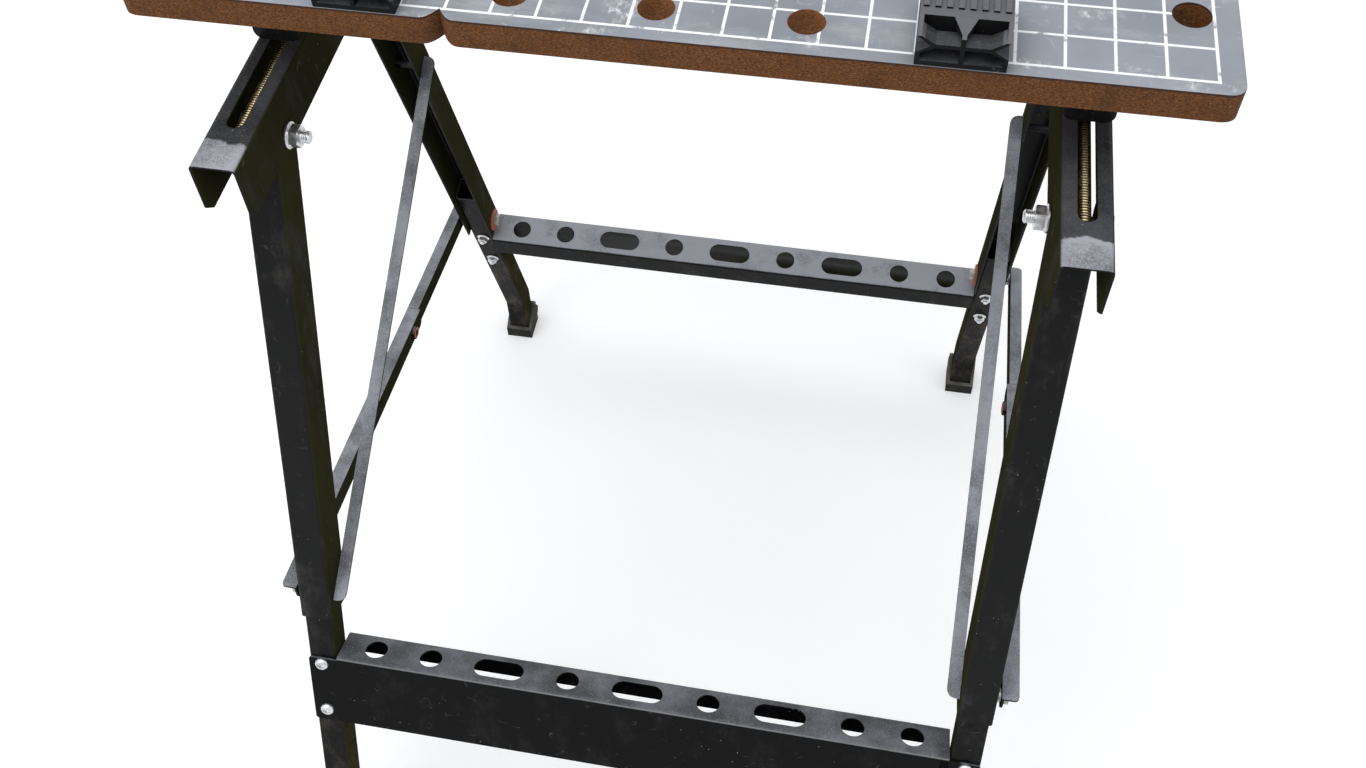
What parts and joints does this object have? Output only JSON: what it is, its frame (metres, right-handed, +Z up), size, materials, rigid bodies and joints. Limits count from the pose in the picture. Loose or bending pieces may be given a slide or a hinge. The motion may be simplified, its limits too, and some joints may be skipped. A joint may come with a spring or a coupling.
{
  "type": "folding workbench",
  "caption": "Folding workbench with two gridded board jaws, a spindle-driven moving jaw, swivelling bench dogs and splayed steel leg frames that fold flat under the top.",
  "frame": {"origin": "on the floor, under the middle of the bench’s bounding box", "axes": "+Z up; X along the jaws; the moving jaw is on the -Y side and the cranks on the +Y side"},
  "size_m": [0.611, 0.6154, 0.7705],
  "materials": {
    "black_enamel": "semi-gloss",
    "fibreboard": "matte",
    "black_plastic": "matte",
    "zinc_plate": "satin",
    "yellow_zinc": "satin",
    "black_rubber": "matte",
    "red_fibre": "matte"
  },
  "bodies": {
    "table_frame": {"channel_left": "black_enamel", "channel_right": "black_enamel", "fixed_riser_left": "black_enamel", "fixed_riser_right": "black_enamel", "spindle_bush_left": "black_plastic", "spindle_bush_right": "black_plastic", "front_pivot_bolt_left": "zinc_plate", "front_pivot_bolt_right": "zinc_plate", "front_pivot_nut_left": "zinc_plate", "front_pivot_nut_right": "zinc_plate", "rear_pivot_bolt_left": "zinc_plate", "rear_pivot_bolt_right": "zinc_plate", "rear_pivot_nut_left": "zinc_plate", "rear_pivot_nut_right": "zinc_plate", "fixed_jaw": "fibreboard"},
    "moving_jaw": {"moving_jaw": "fibreboard", "moving_riser_left": "black_enamel", "moving_riser_right": "black_enamel", "spindle_nut_left": "zinc_plate", "spindle_nut_right": "zinc_plate"},
    "front_leg_frame": {"front_upper_leg_left": "black_enamel", "front_upper_leg_right": "black_enamel", "front_lower_leg_left": "black_enamel", "front_lower_leg_right": "black_enamel", "front_boot_left": "black_rubber", "front_boot_right": "black_rubber", "front_stay_bolt_left": "zinc_plate", "front_stay_bolt_right": "zinc_plate", "front_stretcher": "black_enamel"},
    "rear_leg_frame": {"rear_upper_leg_left": "black_enamel", "rear_upper_leg_right": "black_enamel", "rear_lower_leg_left": "black_enamel", "rear_lower_leg_right": "black_enamel", "rear_boot_left": "black_rubber", "rear_boot_right": "black_rubber", "brace_pivot_left": "zinc_plate", "brace_pivot_right": "zinc_plate", "rear_stay_bolt_left": "zinc_plate", "rear_stay_bolt_right": "zinc_plate", "rear_stay_washer_left": "red_fibre", "rear_stay_washer_right": "red_fibre", "rear_stretcher": "black_enamel"},
    "spindle_left": {"spindle_left": "yellow_zinc", "crank_left": "black_plastic"},
    "crank_knob_left": {"crank_knob_left": "black_plastic"},
    "bench_dog_front_left": {"bench_dog_front_left": "black_plastic"},
    "bench_dog_rear_left": {"bench_dog_rear_left": "black_plastic"},
    "inner_brace_left": {"inner_brace_left": "black_enamel"},
    "stay_front_left": {"stay_front_left": "black_enamel", "knee_rivet_left": "zinc_plate"},
    "stay_rear_left": {"stay_rear_left": "black_enamel"},
    "spindle_right": {"spindle_right": "yellow_zinc", "crank_right": "black_plastic"},
    "crank_knob_right": {"crank_knob_right": "black_plastic"},
    "bench_dog_front_right": {"bench_dog_front_right": "black_plastic"},
    "bench_dog_rear_right": {"bench_dog_rear_right": "black_plastic"},
    "inner_brace_right": {"inner_brace_right": "black_enamel"},
    "stay_front_right": {"stay_front_right": "black_enamel", "knee_rivet_right": "zinc_plate"},
    "stay_rear_right": {"stay_rear_right": "black_enamel"}
  },
  "joints": [
    {"name": "spindle_left", "type": "hinge", "parent": "table_frame", "child": "spindle_left", "pos_m": [-0.2405, 0, 0.667], "axis": [0, 1, 0], "range_deg": [0, 16201]},
    {"name": "spindle_right", "type": "hinge", "parent": "table_frame", "child": "spindle_right", "pos_m": [0.2405, 0, 0.667], "axis": [0, 1, 0], "range_deg": [0, 16201]},
    {"name": "jaw_slide", "type": "slide", "parent": "table_frame", "child": "moving_jaw", "axis": [0, -1, 0], "range_m": [0, 0.09]},
    {"name": "front_leg_fold", "type": "hinge", "parent": "table_frame", "child": "front_leg_frame", "pos_m": [0, -0.06389, 0.643], "axis": [-1, 0, 0], "range_deg": [0, 69.2]},
    {"name": "rear_leg_fold", "type": "hinge", "parent": "table_frame", "child": "rear_leg_frame", "pos_m": [0, 0.11311, 0.643], "axis": [-1, 0, 0], "range_deg": [0, 96.1]},
    {"name": "inner_brace_left", "type": "hinge", "parent": "rear_leg_frame", "child": "inner_brace_left", "pos_m": [-0.226, 0.15401, 0.50493], "axis": [1, 0, 0], "range_deg": [0, 61.8]},
    {"name": "stay_front_left", "type": "hinge", "parent": "front_leg_frame", "child": "stay_front_left", "pos_m": [-0.2568, -0.19457, 0.29898], "axis": [1, 0, 0], "range_deg": [0, 78.59]},
    {"name": "stay_rear_left", "type": "hinge", "parent": "stay_front_left", "child": "stay_rear_left", "pos_m": [-0.2587, 0.07323, 0.26333], "axis": [-1, 0, 0], "range_deg": [0, 150.15]},
    {"name": "crank_knob_left", "type": "hinge", "parent": "spindle_left", "child": "crank_knob_left", "pos_m": [-0.2405, 0.23, 0.609], "axis": [0, 1, 0], "continuous": true},
    {"name": "inner_brace_right", "type": "hinge", "parent": "rear_leg_frame", "child": "inner_brace_right", "pos_m": [0.226, 0.15401, 0.50493], "axis": [1, 0, 0], "range_deg": [0, 61.8]},
    {"name": "stay_front_right", "type": "hinge", "parent": "front_leg_frame", "child": "stay_front_right", "pos_m": [0.2568, -0.19457, 0.29898], "axis": [1, 0, 0], "range_deg": [0, 78.59]},
    {"name": "stay_rear_right", "type": "hinge", "parent": "stay_front_right", "child": "stay_rear_right", "pos_m": [0.2587, 0.07323, 0.26333], "axis": [-1, 0, 0], "range_deg": [0, 150.15]},
    {"name": "crank_knob_right", "type": "hinge", "parent": "spindle_right", "child": "crank_knob_right", "pos_m": [0.2405, 0.23, 0.609], "axis": [0, 1, 0], "continuous": true},
    {"name": "bench_dog_front_left_swivel", "type": "hinge", "parent": "moving_jaw", "child": "bench_dog_front_left", "pos_m": [-0.163, -0.03659, 0.745], "axis": [0, 0, 1], "continuous": true},
    {"name": "bench_dog_front_right_swivel", "type": "hinge", "parent": "moving_jaw", "child": "bench_dog_front_right", "pos_m": [0.163, -0.03659, 0.745], "axis": [0, 0, 1], "continuous": true},
    {"name": "bench_dog_rear_left_swivel", "type": "hinge", "parent": "table_frame", "child": "bench_dog_rear_left", "pos_m": [-0.163, 0.15441, 0.745], "axis": [0, 0, 1], "continuous": true},
    {"name": "bench_dog_rear_right_swivel", "type": "hinge", "parent": "table_frame", "child": "bench_dog_rear_right", "pos_m": [0.163, 0.15441, 0.745], "axis": [0, 0, 1], "continuous": true}
  ],
  "couplings": [
    {"joint": "spindle_left", "follows": "jaw_slide", "rad_per_m": 3141.6},
    {"joint": "spindle_right", "follows": "jaw_slide", "rad_per_m": 3141.6},
    {"joint": "rear_leg_fold", "follows": "front_leg_fold", "ratio": 1.3873},
    {"joint": "inner_brace_left", "follows": "front_leg_fold", "ratio": 0.89166},
    {"joint": "stay_front_left", "follows": "front_leg_fold", "ratio": 1.1343},
    {"joint": "stay_rear_left", "follows": "front_leg_fold", "ratio": 2.1668},
    {"joint": "inner_brace_right", "follows": "front_leg_fold", "ratio": 0.89166},
    {"joint": "stay_front_right", "follows": "front_leg_fold", "ratio": 1.1343},
    {"joint": "stay_rear_right", "follows": "front_leg_fold", "ratio": 2.1668}
  ]
}
